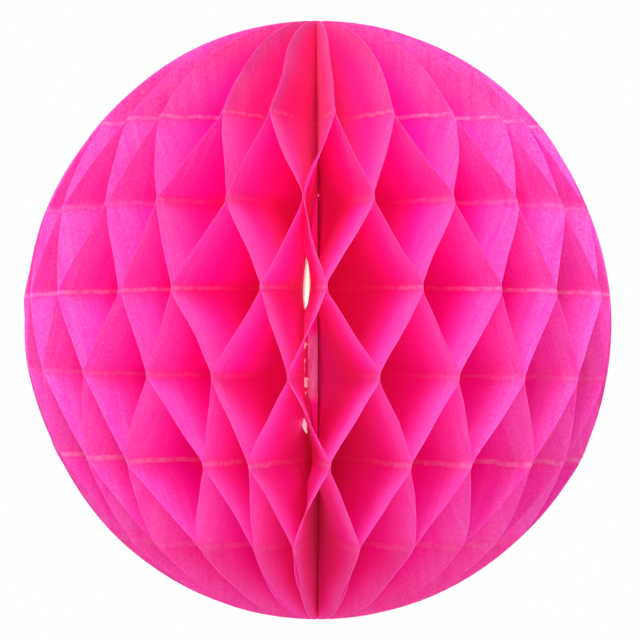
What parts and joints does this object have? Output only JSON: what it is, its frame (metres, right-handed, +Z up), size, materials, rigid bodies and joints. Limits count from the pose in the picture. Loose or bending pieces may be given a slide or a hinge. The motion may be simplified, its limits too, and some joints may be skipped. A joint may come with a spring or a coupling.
{
  "type": "paper honeycomb ball",
  "caption": "Round hanging decoration of zigzag tissue-paper leaves round a bound spine, opened into diamond honeycomb cells, with a taped seam between two small cards.",
  "frame": {"origin": "centre of the ball, on the spine's axis, halfway between its ends", "axes": "+Z up along the spine towards the hanging eye; -Y is the front, 4.8 degrees from the seam; +X is to the right of the front"},
  "size_m": [0.1949, 0.1957, 0.1998],
  "materials": {
    "tissue": "hot pink tissue paper, thin and slightly glossy",
    "bound_edges": "tissue edges soaked with glue, darker pink",
    "card": "off-white board with a grey core",
    "tape": "clear double-sided tape",
    "thread": "white twisted thread"
  },
  "bodies": {
    "right_card": {"right_card": "card", "closing_tape": "tape", "spine_core": "bound_edges", "spine_thread": "thread", "top_knot": "thread", "bottom_knot": "thread", "hanging_eye": "thread"},
    "left_card": {"left_card": "card"},
    "leaf_01": {"leaf_01": "tissue"},
    "leaf_02": {"leaf_02": "tissue"},
    "leaf_03": {"leaf_03": "tissue"},
    "leaf_04": {"leaf_04": "tissue"},
    "leaf_05": {"leaf_05": "tissue"},
    "leaf_06": {"leaf_06": "tissue"},
    "leaf_07": {"leaf_07": "tissue"},
    "leaf_08": {"leaf_08": "tissue"},
    "leaf_09": {"leaf_09": "tissue"},
    "leaf_10": {"leaf_10": "tissue"},
    "leaf_11": {"leaf_11": "tissue"},
    "leaf_12": {"leaf_12": "tissue"},
    "leaf_13": {"leaf_13": "tissue"},
    "leaf_14": {"leaf_14": "tissue"},
    "leaf_15": {"leaf_15": "tissue"},
    "leaf_16": {"leaf_16": "tissue"},
    "leaf_17": {"leaf_17": "tissue"},
    "leaf_18": {"leaf_18": "tissue"},
    "leaf_19": {"leaf_19": "tissue"},
    "leaf_20": {"leaf_20": "tissue"},
    "leaf_21": {"leaf_21": "tissue"},
    "leaf_22": {"leaf_22": "tissue"},
    "leaf_23": {"leaf_23": "tissue"},
    "leaf_24": {"leaf_24": "tissue"},
    "leaf_25": {"leaf_25": "tissue"},
    "leaf_26": {"leaf_26": "tissue"},
    "leaf_27": {"leaf_27": "tissue"},
    "leaf_28": {"leaf_28": "tissue"},
    "leaf_29": {"leaf_29": "tissue"},
    "leaf_30": {"leaf_30": "tissue"},
    "leaf_31": {"leaf_31": "tissue"},
    "leaf_32": {"leaf_32": "tissue"},
    "leaf_33": {"leaf_33": "tissue"},
    "leaf_34": {"leaf_34": "tissue"},
    "leaf_35": {"leaf_35": "tissue"},
    "leaf_36": {"leaf_36": "tissue"},
    "leaf_37": {"leaf_37": "tissue"},
    "leaf_38": {"leaf_38": "tissue"},
    "leaf_39": {"leaf_39": "tissue"},
    "leaf_40": {"leaf_40": "tissue"},
    "leaf_41": {"leaf_41": "tissue"},
    "leaf_42": {"leaf_42": "tissue"},
    "leaf_43": {"leaf_43": "tissue"},
    "leaf_44": {"leaf_44": "tissue"},
    "leaf_45": {"leaf_45": "tissue"},
    "leaf_46": {"leaf_46": "tissue"}
  },
  "joints": [
    {"name": "open_close", "type": "hinge", "parent": "right_card", "child": "left_card", "pos_m": [0, 0, 0], "axis": [0, 0, 1], "range_deg": [-352, 0]},
    {"name": "leaf_01_turn", "type": "hinge", "parent": "right_card", "child": "leaf_01", "pos_m": [0, 0, 0], "axis": [0, 0, 1], "range_deg": [-3.83, 0], "deforming": ["leaf_01"]},
    {"name": "leaf_02_turn", "type": "hinge", "parent": "right_card", "child": "leaf_02", "pos_m": [0, 0, 0], "axis": [0, 0, 1], "range_deg": [-11.48, 0], "deforming": ["leaf_02"]},
    {"name": "leaf_03_turn", "type": "hinge", "parent": "right_card", "child": "leaf_03", "pos_m": [0, 0, 0], "axis": [0, 0, 1], "range_deg": [-19.13, 0], "deforming": ["leaf_03"]},
    {"name": "leaf_04_turn", "type": "hinge", "parent": "right_card", "child": "leaf_04", "pos_m": [0, 0, 0], "axis": [0, 0, 1], "range_deg": [-26.78, 0], "deforming": ["leaf_04"]},
    {"name": "leaf_05_turn", "type": "hinge", "parent": "right_card", "child": "leaf_05", "pos_m": [0, 0, 0], "axis": [0, 0, 1], "range_deg": [-34.44, 0], "deforming": ["leaf_05"]},
    {"name": "leaf_06_turn", "type": "hinge", "parent": "right_card", "child": "leaf_06", "pos_m": [0, 0, 0], "axis": [0, 0, 1], "range_deg": [-42.09, 0], "deforming": ["leaf_06"]},
    {"name": "leaf_07_turn", "type": "hinge", "parent": "right_card", "child": "leaf_07", "pos_m": [0, 0, 0], "axis": [0, 0, 1], "range_deg": [-49.74, 0], "deforming": ["leaf_07"]},
    {"name": "leaf_08_turn", "type": "hinge", "parent": "right_card", "child": "leaf_08", "pos_m": [0, 0, 0], "axis": [0, 0, 1], "range_deg": [-57.39, 0], "deforming": ["leaf_08"]},
    {"name": "leaf_09_turn", "type": "hinge", "parent": "right_card", "child": "leaf_09", "pos_m": [0, 0, 0], "axis": [0, 0, 1], "range_deg": [-65.04, 0], "deforming": ["leaf_09"]},
    {"name": "leaf_10_turn", "type": "hinge", "parent": "right_card", "child": "leaf_10", "pos_m": [0, 0, 0], "axis": [0, 0, 1], "range_deg": [-72.7, 0], "deforming": ["leaf_10"]},
    {"name": "leaf_11_turn", "type": "hinge", "parent": "right_card", "child": "leaf_11", "pos_m": [0, 0, 0], "axis": [0, 0, 1], "range_deg": [-80.35, 0], "deforming": ["leaf_11"]},
    {"name": "leaf_12_turn", "type": "hinge", "parent": "right_card", "child": "leaf_12", "pos_m": [0, 0, 0], "axis": [0, 0, 1], "range_deg": [-88, 0], "deforming": ["leaf_12"]},
    {"name": "leaf_13_turn", "type": "hinge", "parent": "right_card", "child": "leaf_13", "pos_m": [0, 0, 0], "axis": [0, 0, 1], "range_deg": [-95.65, 0], "deforming": ["leaf_13"]},
    {"name": "leaf_14_turn", "type": "hinge", "parent": "right_card", "child": "leaf_14", "pos_m": [0, 0, 0], "axis": [0, 0, 1], "range_deg": [-103.31, 0], "deforming": ["leaf_14"]},
    {"name": "leaf_15_turn", "type": "hinge", "parent": "right_card", "child": "leaf_15", "pos_m": [0, 0, 0], "axis": [0, 0, 1], "range_deg": [-110.96, 0], "deforming": ["leaf_15"]},
    {"name": "leaf_16_turn", "type": "hinge", "parent": "right_card", "child": "leaf_16", "pos_m": [0, 0, 0], "axis": [0, 0, 1], "range_deg": [-118.61, 0], "deforming": ["leaf_16"]},
    {"name": "leaf_17_turn", "type": "hinge", "parent": "right_card", "child": "leaf_17", "pos_m": [0, 0, 0], "axis": [0, 0, 1], "range_deg": [-126.26, 0], "deforming": ["leaf_17"]},
    {"name": "leaf_18_turn", "type": "hinge", "parent": "right_card", "child": "leaf_18", "pos_m": [0, 0, 0], "axis": [0, 0, 1], "range_deg": [-133.91, 0], "deforming": ["leaf_18"]},
    {"name": "leaf_19_turn", "type": "hinge", "parent": "right_card", "child": "leaf_19", "pos_m": [0, 0, 0], "axis": [0, 0, 1], "range_deg": [-141.57, 0], "deforming": ["leaf_19"]},
    {"name": "leaf_20_turn", "type": "hinge", "parent": "right_card", "child": "leaf_20", "pos_m": [0, 0, 0], "axis": [0, 0, 1], "range_deg": [-149.22, 0], "deforming": ["leaf_20"]},
    {"name": "leaf_21_turn", "type": "hinge", "parent": "right_card", "child": "leaf_21", "pos_m": [0, 0, 0], "axis": [0, 0, 1], "range_deg": [-156.87, 0], "deforming": ["leaf_21"]},
    {"name": "leaf_22_turn", "type": "hinge", "parent": "right_card", "child": "leaf_22", "pos_m": [0, 0, 0], "axis": [0, 0, 1], "range_deg": [-164.52, 0], "deforming": ["leaf_22"]},
    {"name": "leaf_23_turn", "type": "hinge", "parent": "right_card", "child": "leaf_23", "pos_m": [0, 0, 0], "axis": [0, 0, 1], "range_deg": [-172.17, 0], "deforming": ["leaf_23"]},
    {"name": "leaf_24_turn", "type": "hinge", "parent": "right_card", "child": "leaf_24", "pos_m": [0, 0, 0], "axis": [0, 0, 1], "range_deg": [-179.83, 0], "deforming": ["leaf_24"]},
    {"name": "leaf_25_turn", "type": "hinge", "parent": "right_card", "child": "leaf_25", "pos_m": [0, 0, 0], "axis": [0, 0, 1], "range_deg": [-187.48, 0], "deforming": ["leaf_25"]},
    {"name": "leaf_26_turn", "type": "hinge", "parent": "right_card", "child": "leaf_26", "pos_m": [0, 0, 0], "axis": [0, 0, 1], "range_deg": [-195.13, 0], "deforming": ["leaf_26"]},
    {"name": "leaf_27_turn", "type": "hinge", "parent": "right_card", "child": "leaf_27", "pos_m": [0, 0, 0], "axis": [0, 0, 1], "range_deg": [-202.78, 0], "deforming": ["leaf_27"]},
    {"name": "leaf_28_turn", "type": "hinge", "parent": "right_card", "child": "leaf_28", "pos_m": [0, 0, 0], "axis": [0, 0, 1], "range_deg": [-210.44, 0], "deforming": ["leaf_28"]},
    {"name": "leaf_29_turn", "type": "hinge", "parent": "right_card", "child": "leaf_29", "pos_m": [0, 0, 0], "axis": [0, 0, 1], "range_deg": [-218.09, 0], "deforming": ["leaf_29"]},
    {"name": "leaf_30_turn", "type": "hinge", "parent": "right_card", "child": "leaf_30", "pos_m": [0, 0, 0], "axis": [0, 0, 1], "range_deg": [-225.74, 0], "deforming": ["leaf_30"]},
    {"name": "leaf_31_turn", "type": "hinge", "parent": "right_card", "child": "leaf_31", "pos_m": [0, 0, 0], "axis": [0, 0, 1], "range_deg": [-233.39, 0], "deforming": ["leaf_31"]},
    {"name": "leaf_32_turn", "type": "hinge", "parent": "right_card", "child": "leaf_32", "pos_m": [0, 0, 0], "axis": [0, 0, 1], "range_deg": [-241.04, 0], "deforming": ["leaf_32"]},
    {"name": "leaf_33_turn", "type": "hinge", "parent": "right_card", "child": "leaf_33", "pos_m": [0, 0, 0], "axis": [0, 0, 1], "range_deg": [-248.7, 0], "deforming": ["leaf_33"]},
    {"name": "leaf_34_turn", "type": "hinge", "parent": "right_card", "child": "leaf_34", "pos_m": [0, 0, 0], "axis": [0, 0, 1], "range_deg": [-256.35, 0], "deforming": ["leaf_34"]},
    {"name": "leaf_35_turn", "type": "hinge", "parent": "right_card", "child": "leaf_35", "pos_m": [0, 0, 0], "axis": [0, 0, 1], "range_deg": [-264, 0], "deforming": ["leaf_35"]},
    {"name": "leaf_36_turn", "type": "hinge", "parent": "right_card", "child": "leaf_36", "pos_m": [0, 0, 0], "axis": [0, 0, 1], "range_deg": [-271.65, 0], "deforming": ["leaf_36"]},
    {"name": "leaf_37_turn", "type": "hinge", "parent": "right_card", "child": "leaf_37", "pos_m": [0, 0, 0], "axis": [0, 0, 1], "range_deg": [-279.31, 0], "deforming": ["leaf_37"]},
    {"name": "leaf_38_turn", "type": "hinge", "parent": "right_card", "child": "leaf_38", "pos_m": [0, 0, 0], "axis": [0, 0, 1], "range_deg": [-286.96, 0], "deforming": ["leaf_38"]},
    {"name": "leaf_39_turn", "type": "hinge", "parent": "right_card", "child": "leaf_39", "pos_m": [0, 0, 0], "axis": [0, 0, 1], "range_deg": [-294.61, 0], "deforming": ["leaf_39"]},
    {"name": "leaf_40_turn", "type": "hinge", "parent": "right_card", "child": "leaf_40", "pos_m": [0, 0, 0], "axis": [0, 0, 1], "range_deg": [-302.26, 0], "deforming": ["leaf_40"]},
    {"name": "leaf_41_turn", "type": "hinge", "parent": "right_card", "child": "leaf_41", "pos_m": [0, 0, 0], "axis": [0, 0, 1], "range_deg": [-309.91, 0], "deforming": ["leaf_41"]},
    {"name": "leaf_42_turn", "type": "hinge", "parent": "right_card", "child": "leaf_42", "pos_m": [0, 0, 0], "axis": [0, 0, 1], "range_deg": [-317.57, 0], "deforming": ["leaf_42"]},
    {"name": "leaf_43_turn", "type": "hinge", "parent": "right_card", "child": "leaf_43", "pos_m": [0, 0, 0], "axis": [0, 0, 1], "range_deg": [-325.22, 0], "deforming": ["leaf_43"]},
    {"name": "leaf_44_turn", "type": "hinge", "parent": "right_card", "child": "leaf_44", "pos_m": [0, 0, 0], "axis": [0, 0, 1], "range_deg": [-332.87, 0], "deforming": ["leaf_44"]},
    {"name": "leaf_45_turn", "type": "hinge", "parent": "right_card", "child": "leaf_45", "pos_m": [0, 0, 0], "axis": [0, 0, 1], "range_deg": [-340.52, 0], "deforming": ["leaf_45"]},
    {"name": "leaf_46_turn", "type": "hinge", "parent": "right_card", "child": "leaf_46", "pos_m": [0, 0, 0], "axis": [0, 0, 1], "range_deg": [-348.17, 0], "deforming": ["leaf_46"]}
  ],
  "couplings": [
    {"joint": "leaf_01_turn", "follows": "open_close", "ratio": 0.01087},
    {"joint": "leaf_02_turn", "follows": "open_close", "ratio": 0.032609},
    {"joint": "leaf_03_turn", "follows": "open_close", "ratio": 0.054348},
    {"joint": "leaf_04_turn", "follows": "open_close", "ratio": 0.076087},
    {"joint": "leaf_05_turn", "follows": "open_close", "ratio": 0.097826},
    {"joint": "leaf_06_turn", "follows": "open_close", "ratio": 0.11957},
    {"joint": "leaf_07_turn", "follows": "open_close", "ratio": 0.1413},
    {"joint": "leaf_08_turn", "follows": "open_close", "ratio": 0.16304},
    {"joint": "leaf_09_turn", "follows": "open_close", "ratio": 0.18478},
    {"joint": "leaf_10_turn", "follows": "open_close", "ratio": 0.20652},
    {"joint": "leaf_11_turn", "follows": "open_close", "ratio": 0.22826},
    {"joint": "leaf_12_turn", "follows": "open_close", "ratio": 0.25},
    {"joint": "leaf_13_turn", "follows": "open_close", "ratio": 0.27174},
    {"joint": "leaf_14_turn", "follows": "open_close", "ratio": 0.29348},
    {"joint": "leaf_15_turn", "follows": "open_close", "ratio": 0.31522},
    {"joint": "leaf_16_turn", "follows": "open_close", "ratio": 0.33696},
    {"joint": "leaf_17_turn", "follows": "open_close", "ratio": 0.3587},
    {"joint": "leaf_18_turn", "follows": "open_close", "ratio": 0.38044},
    {"joint": "leaf_19_turn", "follows": "open_close", "ratio": 0.40217},
    {"joint": "leaf_20_turn", "follows": "open_close", "ratio": 0.42391},
    {"joint": "leaf_21_turn", "follows": "open_close", "ratio": 0.44565},
    {"joint": "leaf_22_turn", "follows": "open_close", "ratio": 0.46739},
    {"joint": "leaf_23_turn", "follows": "open_close", "ratio": 0.48913},
    {"joint": "leaf_24_turn", "follows": "open_close", "ratio": 0.51087},
    {"joint": "leaf_25_turn", "follows": "open_close", "ratio": 0.53261},
    {"joint": "leaf_26_turn", "follows": "open_close", "ratio": 0.55435},
    {"joint": "leaf_27_turn", "follows": "open_close", "ratio": 0.57609},
    {"joint": "leaf_28_turn", "follows": "open_close", "ratio": 0.59783},
    {"joint": "leaf_29_turn", "follows": "open_close", "ratio": 0.61957},
    {"joint": "leaf_30_turn", "follows": "open_close", "ratio": 0.6413},
    {"joint": "leaf_31_turn", "follows": "open_close", "ratio": 0.66304},
    {"joint": "leaf_32_turn", "follows": "open_close", "ratio": 0.68478},
    {"joint": "leaf_33_turn", "follows": "open_close", "ratio": 0.70652},
    {"joint": "leaf_34_turn", "follows": "open_close", "ratio": 0.72826},
    {"joint": "leaf_35_turn", "follows": "open_close", "ratio": 0.75},
    {"joint": "leaf_36_turn", "follows": "open_close", "ratio": 0.77174},
    {"joint": "leaf_37_turn", "follows": "open_close", "ratio": 0.79348},
    {"joint": "leaf_38_turn", "follows": "open_close", "ratio": 0.81522},
    {"joint": "leaf_39_turn", "follows": "open_close", "ratio": 0.83696},
    {"joint": "leaf_40_turn", "follows": "open_close", "ratio": 0.8587},
    {"joint": "leaf_41_turn", "follows": "open_close", "ratio": 0.88043},
    {"joint": "leaf_42_turn", "follows": "open_close", "ratio": 0.90217},
    {"joint": "leaf_43_turn", "follows": "open_close", "ratio": 0.92391},
    {"joint": "leaf_44_turn", "follows": "open_close", "ratio": 0.94565},
    {"joint": "leaf_45_turn", "follows": "open_close", "ratio": 0.96739},
    {"joint": "leaf_46_turn", "follows": "open_close", "ratio": 0.98913}
  ]
}
